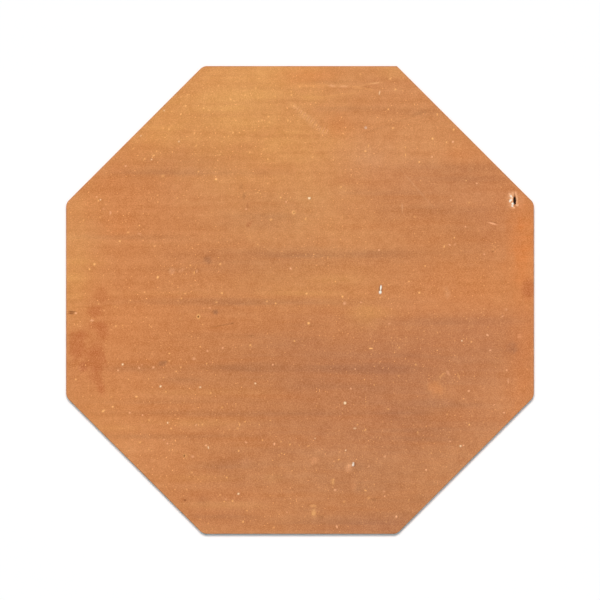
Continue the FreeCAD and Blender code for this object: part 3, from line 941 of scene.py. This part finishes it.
    def sandy(self, tree: Tree, colour: Socket, grain: Socket, mottle: Socket) -> Socket:
        """Lightens and darkens the clay with its sand and its soft patches.

        Args:
            tree: the material's nodes.
            colour: the colour so far.
            grain: the sand, which is pale grains on a ground that is much the same all over.
            mottle: the soft patches.

        Returns:
            The sandy colour.
        """
        parts = []
        for pattern, clamp, (low, high), dark, pale in (
            (grain, True, self.grain_range, self.grain_dip * self.grain_depth, self.grain_depth),
            (mottle, False, self.mottle_range, self.mottle_depth, self.mottle_depth),
        ):
            limits = {"From Min": low, "From Max": high, "To Min": -dark, "To Max": pale}
            part = add_node(tree, "MapRange", {"clamp": clamp}, {"Value": pattern, **limits})
            parts.append(part.outputs[0])
        shade = add_node(tree, "Math", ADD, dict(enumerate(parts))).outputs[0]
        lift = [pale - mid for pale, mid in zip(linear(self.sand)[:3], linear(self.body)[:3])]
        return add_node(tree, "VectorMath", MULTIPLY_ADD, {0: shade, 1: lift, 2: colour}).outputs[0]

    def scatter(
        self, tree: Tree, place: Socket, colour: Socket, height: Socket
    ) -> tuple[Socket, Socket]:
        """Scatters the grits over the clay.

        Args:
            tree: the material's nodes.
            place: the Object coordinates.
            colour: the colour so far.
            height: the height so far, in millimetres.

        Returns:
            The colour and the height with the grits.
        """
        size, far = self.drift
        stray = add_node(tree, "TexNoise", {}, {"Vector": place, "Scale": per_mm(size)}).outputs["Color"]
        reach = [2 * far * MM] * 3
        place = add_node(tree, "VectorMath", MULTIPLY_ADD, {0: stray, 1: reach, 2: place}).outputs[0]
        size, detail = self.cluster
        pattern = {"Vector": place, "Scale": per_mm(size), "Detail": detail}
        crowd = add_node(tree, "TexNoise", {}, pattern).outputs[0]
        (low, high), (few, many) = self.cluster_range, self.cluster_share
        limits = {"From Min": low, "From Max": high, "To Min": few, "To Max": many}
        crowd = add_node(tree, "MapRange", {}, {"Value": crowd, **limits}).outputs[0]
        closer = add_node(tree, "Attribute", {"attribute_name": Tone.CROWD.value}).outputs["Fac"]
        crowd = add_node(tree, "Math", ADD, {0: crowd, 1: closer}).outputs[0]
        outer, inner = self.grit_edge
        for grit in self.grits:
            cells = add_node(tree, "TexVoronoi", {}, {"Vector": place, "Scale": per_mm(grit.spacing)})
            chance = add_node(tree, "SeparateColor", {}, {"Color": cells.outputs["Color"]}).outputs[0]
            edge = grit.radius / grit.spacing
            rim = {"Value": cells.outputs["Distance"], "From Min": edge * outer, "From Max": edge * inner}
            dot = add_node(tree, "MapRange", SMOOTH, rim).outputs[0]
            bright = add_node(tree, "Math", POWER, {0: chance, 1: self.grit_rarity}).outputs[0]
            amount = add_node(tree, "Math", MULTIPLY, {0: dot, 1: bright}).outputs[0]
            shown = add_node(tree, "Math", MULTIPLY, {0: amount, 1: grit.strength}).outputs[0]
            shown = add_node(tree, "Math", MULTIPLY | CLAMP, {0: shown, 1: crowd}).outputs[0]
            laid = {0: shown, MIX_FROM: colour, MIX_TO: linear(grit.colour)}
            colour = add_node(tree, "Mix", COLOURS, laid).outputs[MIXED]
            height = add_node(tree, "Math", MULTIPLY_ADD, {0: amount, 1: grit.rise, 2: height}).outputs[0]
        return colour, height


@dataclass
class TerracottaTile:
    """The octagonal slab, as one closed mesh with real relief.

    Attributes:
        apothem: from the centre to each flat side.
        thickness: from the bedding face to the wear face.
        finish: what it is made of.
        marks: what the kiln and wear left on its face.
        corner_radius: of the plan corners.
        crisp_radius: of the one corner that the cutter left sharp.
        crisp_corner: which one that is, counted from 0 and anticlockwise from +X.
        corner_cuts: flat cuts that make up each rounded corner.
        wear_arris: radius of the edge round the wear face.
        wear_steps: rings of mesh round that edge.
        bedding_arris: radius of the edge round the bedding face.
        bedding_steps: rings of mesh round that edge.
        wall_steps: rings of mesh down the sides.
        pitch: size of the mesh on the wear face, before it is refined round small marks.
        levels: how many times the mesh can be halved there.
        margin: how far from a mark's middle it is refined, as a share of the mark's size.
        back_pitch: size of the mesh on the bedding face.
        sink: how far the wear face lies below the frame's top, which leaves room for proud grains.
        wave: depth of the broad hollows in the wear face.
        wave_span: how far apart they are along X and Y.
        drag: depth of the fine ridges that the die drew along it.
        drag_span: how far apart those are along X and Y.
        wave_seeds: which hollows and which ridges it has, of all that there could be.
        wall_wave: how far the sides wander inwards.
        wall_shares: how much of that is even, how much in bumps and how much in lines.
        bump_span: how far apart the bumps are along a side and up it.
        line_span: how far apart the lines are along a side and up it.
        arris_rub_and_highlight_width: how wide the paler line along the edge of the wear face is, partly a
            rubbed line and partly a painted highlight that makes up for the shade where the rounded edge
            turns from the lamps.
        arris_rub_and_highlight: how much of the ochre tone that line shows.
    """

    apothem: float
    thickness: float
    finish: FiredClay
    marks: tuple[Mark, ...]
    corner_radius: float = 7.0
    crisp_radius: float = 2.0
    crisp_corner: int = 1
    corner_cuts: int = 6
    wear_arris: float = 1.0
    wear_steps: int = 4
    bedding_arris: float = 0.6
    bedding_steps: int = 3
    wall_steps: int = 11
    pitch: float = 1.4
    levels: int = 3
    margin: float = 0.7
    back_pitch: float = 5.0
    sink: float = 0.15
    wave: float = 0.12
    wave_span: tuple[float, float] = (55.0, 40.0)
    drag: float = 0.03
    drag_span: tuple[float, float] = (60.0, 2.6)
    wave_seeds: tuple[float, float] = (3.0, 7.0)
    wall_wave: float = 0.12
    wall_shares: tuple[float, float, float] = (0.5, 0.3, 0.2)
    bump_span: tuple[float, float] = (9.0, 5.0)
    line_span: tuple[float, float] = (20.0, 1.2)
    arris_rub_and_highlight_width: float = 1.6
    arris_rub_and_highlight: float = 0.08

    def build(self) -> bpy.types.Object:
        """Builds and dresses the tile.

        Returns:
            The tile's object, at the origin, in metres.
        """
        shell = self.wear_face()
        self.refine(shell)
        self.walls(shell)
        bmesh.ops.recalc_face_normals(shell, faces=shell.faces)
        for face in shell.faces:
            face.smooth = True
        mesh = bpy.data.meshes.new(NODE)
        shell.to_mesh(mesh)
        shell.free()
        self.sculpt_and_paint(mesh)
        mesh.materials.append(self.finish.material())
        tile = bpy.data.objects.new("fired_tile", mesh)
        bpy.context.scene.collection.objects.link(tile)
        return tile

    def edge_cuts(self, inset: float) -> list[tuple[Vector, float]]:
        """The straight cuts that shape the plan.

        Args:
            inset: how far inside the tile's outline the plan lies.

        Returns:
            For each cut, the way that it faces and how far it is from the centre.
        """
        cuts = []
        for corner in range(SIDES):
            radius = (self.crisp_radius if corner == self.crisp_corner else self.corner_radius) - inset
            middle = (corner + 0.5) * TURN
            centre = (self.apothem - inset - radius) / math.cos(TURN / 2)
            for step in range(self.corner_cuts + 1):
                angle = corner * TURN + step * TURN / (self.corner_cuts + 1)
                facing = Vector((math.cos(angle), math.sin(angle), 0.0))
                cuts.append((facing, centre * math.cos(angle - middle) + radius))
        return cuts

    def wear_face(self) -> bmesh.types.BMesh:
        """Makes a grid at the top of the tile, cut to the plan's straight sides and rounded corners.

        Returns:
            The wear face, open and flat.
        """
        shell = bmesh.new()
        reach = self.apothem - self.wear_arris
        cells = round(2 * reach / self.pitch)
        bmesh.ops.create_grid(shell, x_segments=cells, y_segments=cells, size=reach)
        bmesh.ops.translate(shell, vec=(0, 0, self.thickness), verts=shell.verts)
        for facing, distance in self.edge_cuts(self.wear_arris):
            inner = distance - 2 * self.pitch
            near = [f for f in shell.faces if f.calc_center_bounds().dot(facing) > inner]
            parts = {e for f in near for e in f.edges} | {v for f in near for v in f.verts}
            bmesh.ops.bisect_plane(
                shell,
                geom=[*near, *parts],
                dist=CUT_TOLERANCE,
                plane_co=facing * distance,
                plane_no=facing,
                clear_outer=True,
            )
        return shell

    def refine(self, shell: bmesh.types.BMesh) -> None:
        """Divides the mesh round the small marks until each is a few faces across.

        Args:
            shell: the wear face.
        """
        for level in range(self.levels):
            pitch = self.pitch / 2**level
            faces = list(shell.faces)
            tree = kdtree.KDTree(len(faces))
            for index, face in enumerate(faces):
                tree.insert(face.calc_center_bounds(), index)
            tree.balance()
            edges = set()
            for mark in self.marks:
                if mark.detail >= pitch:
                    continue
                turn = math.radians(mark.turn)
                far, wide = mark.length * self.margin + pitch, mark.width * self.margin + pitch
                for place, index, _ in tree.find_range((mark.x, mark.y, self.thickness), mark.reach + pitch):
                    across, up = place.x - mark.x, place.y - mark.y
                    along = abs(across * math.cos(turn) + up * math.sin(turn))
                    aside = abs(up * math.cos(turn) - across * math.sin(turn))
                    if along < far and aside < wide:
                        edges.update(faces[index].edges)
            bmesh.ops.subdivide_edges(shell, edges=list(edges), cuts=1, use_grid_fill=True)

    def walls(self, shell: bmesh.types.BMesh) -> None:
        """Runs the edge of the wear face down to the bedding face, and closes that.

        Args:
            shell: the wear face, which becomes a closed shell.
        """
        rings = []
        radius, quarter = self.wear_arris, math.pi / 2
        for step in range(1, self.wear_steps + 1):
            angle = step * quarter / self.wear_steps
            rings.append((radius * (1 - math.sin(angle)), self.thickness - radius * (1 - math.cos(angle))))
        high, low = self.thickness - self.wear_arris, self.bedding_arris
        for step in range(1, self.wall_steps + 1):
            rings.append((0.0, high + (low - high) * step / self.wall_steps))
        radius = self.bedding_arris
        for step in range(1, self.bedding_steps + 1):
            angle = step * quarter / self.bedding_steps
            rings.append((radius * (1 - math.cos(angle)), radius * (1 - math.sin(angle))))
        edges = [e for e in shell.edges if e.is_boundary]
        inset, height = self.wear_arris, self.thickness
        for next_inset, next_height in rings:
            made = bmesh.ops.extrude_edge_only(shell, edges=edges)["geom"]
            verts = [g for g in made if isinstance(g, bmesh.types.BMVert)]
            grow = (self.apothem - next_inset) / (self.apothem - inset)
            bmesh.ops.scale(shell, vec=(grow, grow, 1), verts=verts)
            bmesh.ops.translate(shell, vec=(0, 0, next_height - height), verts=verts)
            edges = [g for g in made if isinstance(g, bmesh.types.BMEdge) and g.is_boundary]
            inset, height = next_inset, next_height
        back = bmesh.ops.contextual_create(shell, geom=edges)["faces"]
        self.divide_back(shell, back)

    def divide_back(self, shell: bmesh.types.BMesh, back: list[bmesh.types.BMFace]) -> None:
        """Cuts the one face of the back into a coarse grid.

        Args:
            shell: the closed shell.
            back: its bottom face.
        """
        lines = int(self.apothem / self.back_pitch)
        for facing in (Vector((1, 0, 0)), Vector((0, 1, 0))):
            for line in range(-lines, lines + 1):
                parts = {e for f in back for e in f.edges} | {v for f in back for v in f.verts}
                cut = bmesh.ops.bisect_plane(
                    shell,
                    geom=[*back, *parts],
                    dist=CUT_TOLERANCE,
                    plane_co=facing * (line * self.back_pitch),
                    plane_no=facing,
                )
                back = [g for g in cut["geom"] if isinstance(g, bmesh.types.BMFace)]

    def sculpt_and_paint(self, mesh: bpy.types.Mesh) -> None:
        """Gives the mesh its relief, paints the marks on its layers and brings it to metres.

        Args:
            mesh: the tile's mesh, still plain and in millimetres.
        """
        points = np.empty(len(mesh.vertices) * 3, np.float32)
        mesh.vertices.foreach_get("co", points)
        points = points.reshape(-1, 3).astype(float)
        plan, height = points[:, :2], points[:, 2]
        band = 2 * self.wear_arris
        top = np.clip((height - self.thickness + band) / band, 0, 1)
        painted = np.flatnonzero(top > 0)

        layers = {tone: np.zeros(len(points)) for tone in Tone}
        relief = np.zeros(len(points))
        for mark in self.marks:
            rows, amount = mark.cover(plan[painted])
            rows = painted[rows]
            layer = layers[mark.tone]
            layer[rows] = 1 - (1 - layer[rows]) * (1 - amount * mark.strength)
            relief[rows] += amount * mark.rise
        # A paler ochre line along the edge of the wear face: partly rubbed wear and partly a painted
        # highlight, making up for the shade where the rounded edge turns from the lamps
        sides = np.arange(SIDES) * TURN
        inside = self.apothem - (plan @ np.stack([np.cos(sides), np.sin(sides)])).max(1)
        worn_and_lit = np.clip((self.arris_rub_and_highlight_width - inside) / self.arris_rub_and_highlight_width, 0, 1)
        layers[Tone.OCHRE] = 1 - (1 - layers[Tone.OCHRE]) * (1 - self.arris_rub_and_highlight * worn_and_lit)
        for tone, layer in layers.items():
            self.store(mesh, tone.value, layer * top)
        self.store(mesh, CUT_LAYER, 1 - top)

        waves = np.array([self.waves(*p) for p in points])
        points[:, 2] += top * np.minimum(relief - self.sink + waves[:, 0], 0)
        points[:, :2] *= 1 - (waves[:, 1] * (1 - top) / self.apothem)[:, None]
        mesh.vertices.foreach_set("co", (points * MM).astype(np.float32).ravel())
        mesh.update()

    def waves(self, x: float, y: float, z: float) -> tuple[float, float]:
        """Works out how uneven the tile is at a point.

        Args:
            x: the point's place to the right.
            y: its place up the picture.
            z: its height.

        Returns:
            How far a point of the wear face lies from flat, and how far a point of the sides lies inwards.
        """
        face = 0.0
        depths = (self.wave / 2, self.drag)
        for depth, (across, up), seed in zip(depths, (self.wave_span, self.drag_span), self.wave_seeds):
            face += depth * noise.noise((x / across, y / up, seed))
        side, *shares = self.wall_shares
        for share, (along, up) in zip(shares, (self.bump_span, self.line_span)):
            side += share * noise.noise((x / along, y / along, z / up))
        return face, self.wall_wave * side

    @staticmethod
    def store(mesh: bpy.types.Mesh, name: str, values: np.ndarray) -> None:
        """Writes one number a point to a layer of the mesh."""
        mesh.attributes.new(name, "FLOAT", "POINT").data.foreach_set("value", values.astype(np.float32))


@dataclass(frozen=True)
class Lamp:
    """A lamp over the table, far enough away for its light to fall the same way everywhere.

    Attributes:
        name: what it is.
        share: how much of all the light comes from it.
        spread: degrees across the lamp, as seen from the tile.
        tilt: degrees that it leans from straight above.
        turn: degrees anticlockwise from +Y to the way that it leans.
    """

    name: str
    share: float
    spread: float
    tilt: float = 0.0
    turn: float = 0.0

    def hang(self, scene: bpy.types.Scene) -> None:
        """Hangs the lamp, at a strength at which all the light together shows a colour as it is written.

        Args:
            scene: the scene that it lights.
        """
        light = bpy.data.lights.new(self.name, "SUN")
        light.energy = math.pi * self.share
        light.angle = math.radians(self.spread)
        lamp = bpy.data.objects.new(self.name, light)
        lamp.rotation_euler = (-math.radians(self.tilt), 0.0, math.radians(self.turn))
        scene.collection.objects.link(lamp)


@dataclass
class Studio:
    """The white table, the light over it and the camera straight above.

    Attributes:
        frame_width: how wide the picture is.
        camera_height: how far up the camera hangs.
        floor_size: width of the table.
        floor_drop: how far the table lies below the tile.
        lamps: what lights the tile, apart from what comes from all round.
        floor_colour: the table's own surface.
        floor_fill: colour of the light that is added to the table where the camera sees it, so that it comes
            out white, and so that its shadow stays grey beside the orange tile.
        floor_glow: how strong that light is.
    """

    frame_width: float = 374.4
    camera_height: float = 1000.0
    floor_size: float = 6000.0
    floor_drop: float = 0.2
    lamps: tuple[Lamp, ...] = (
        Lamp("Overhead softbox", share=0.66, spread=6.0, tilt=5.6, turn=7.0),
        Lamp("Ceiling panel", share=0.29, spread=20.0, tilt=1.5),
    )
    floor_colour: str = "#FCF0ED"
    floor_fill: str = "#74EAFF"
    floor_glow: float = 0.17

    def build(self) -> None:
        """Sets up the studio."""
        scene = bpy.context.scene
        scene.view_settings.view_transform = "Standard"
        scene.world = self.surroundings()
        for lamp in self.lamps:
            lamp.hang(scene)
        self.table(scene)
        self.camera(scene)

    def surroundings(self) -> bpy.types.World:
        """Makes even light from all round, which the camera sees as white.

        Returns:
            The world that gives the light.
        """
        world = bpy.data.worlds.new("Studio")
        world.use_nodes = True
        tree = world.node_tree
        tree.nodes.clear()
        rest = 1 - sum(lamp.share for lamp in self.lamps)
        seen = {"Value": self.seen(tree), "To Min": rest, "To Max": 1.0}
        strength = add_node(tree, "MapRange", {}, seen).outputs[0]
        white = {"Color": linear("#FFFFFF"), "Strength": strength}
        sky = add_node(tree, "Background", {}, white).outputs[0]
        add_node(tree, "OutputWorld", {}, {"Surface": sky})
        return world

    @staticmethod
    def seen(tree: Tree) -> Socket:
        """Tells what the camera sees from what only lights the tile.

        Args:
            tree: the nodes of the world or of a material.

        Returns:
            1 for a ray from the camera, straight or by way of a mirror or glass, and 0 for one that
            carries light.
        """
        path = add_node(tree, "LightPath").outputs
        seen = path["Is Camera Ray"]
        for ray in ("Is Glossy Ray", "Is Transmission Ray"):
            seen = add_node(tree, "Math", MAXIMUM, {0: seen, 1: path[ray]}).outputs[0]
        return seen

    def table(self, scene: bpy.types.Scene) -> None:
        """Lays the table, white to the camera apart from the tile's shadow.

        Args:
            scene: the scene that it goes into.
        """
        plane = bmesh.new()
        bmesh.ops.create_grid(plane, x_segments=1, y_segments=1, size=self.floor_size / 2 * MM)
        bmesh.ops.translate(plane, vec=(0, 0, -self.floor_drop * MM), verts=plane.verts)
        mesh = bpy.data.meshes.new("table")
        plane.to_mesh(mesh)
        plane.free()
        # Matt white laminate, which is plain and pale and keeps the tile's shadow soft
        material = bpy.data.materials.new("White table")
        material.use_nodes = True
        tree = material.node_tree
        tree.nodes.clear()
        glow = add_node(tree, "Math", MULTIPLY, {0: self.seen(tree), 1: self.floor_glow}).outputs[0]
        paper = add_node(tree, "BsdfDiffuse", {}, {"Color": linear(self.floor_colour)}).outputs[0]
        fill = {"Color": linear(self.floor_fill), "Strength": glow}
        light = add_node(tree, "Emission", {}, fill).outputs[0]
        both = add_node(tree, "AddShader", {}, {0: paper, 1: light}).outputs[0]
        add_node(tree, "OutputMaterial", {}, {"Surface": both})
        mesh.materials.append(material)
        table = bpy.data.objects.new("table", mesh)
        scene.collection.objects.link(table)

    def camera(self, scene: bpy.types.Scene) -> None:
        """Hangs the camera over the middle of the tile, with +Y up the picture and no perspective.

        Args:
            scene: the scene that it looks at.
        """
        view = bpy.data.cameras.new("Overhead camera")
        view.type = "ORTHO"
        view.ortho_scale = self.frame_width * MM
        view.clip_end = self.floor_size * MM
        camera = bpy.data.objects.new("Overhead camera", view)
        camera.location.z = self.camera_height * MM
        scene.collection.objects.link(camera)
        scene.camera = camera


def main() -> None:
    """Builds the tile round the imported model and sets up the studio."""
    logging.basicConfig(level=logging.INFO, format="%(name)s: %(message)s")
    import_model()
    low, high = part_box(NODE)
    thickness = (high[2] - low[2]) / MM
    tile = TerracottaTile((high[0] - low[0]) / MM / 2, thickness, FiredClay(), MARKS)
    piece = tile.build()
    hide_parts(NODE)
    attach(piece, BODY)
    LOG.info("%s has %d points and %d faces", piece.name, len(piece.data.vertices), len(piece.data.polygons))
    Studio().build()
    LOG.info("the studio is set up")


if __name__ == "__main__":
    main()
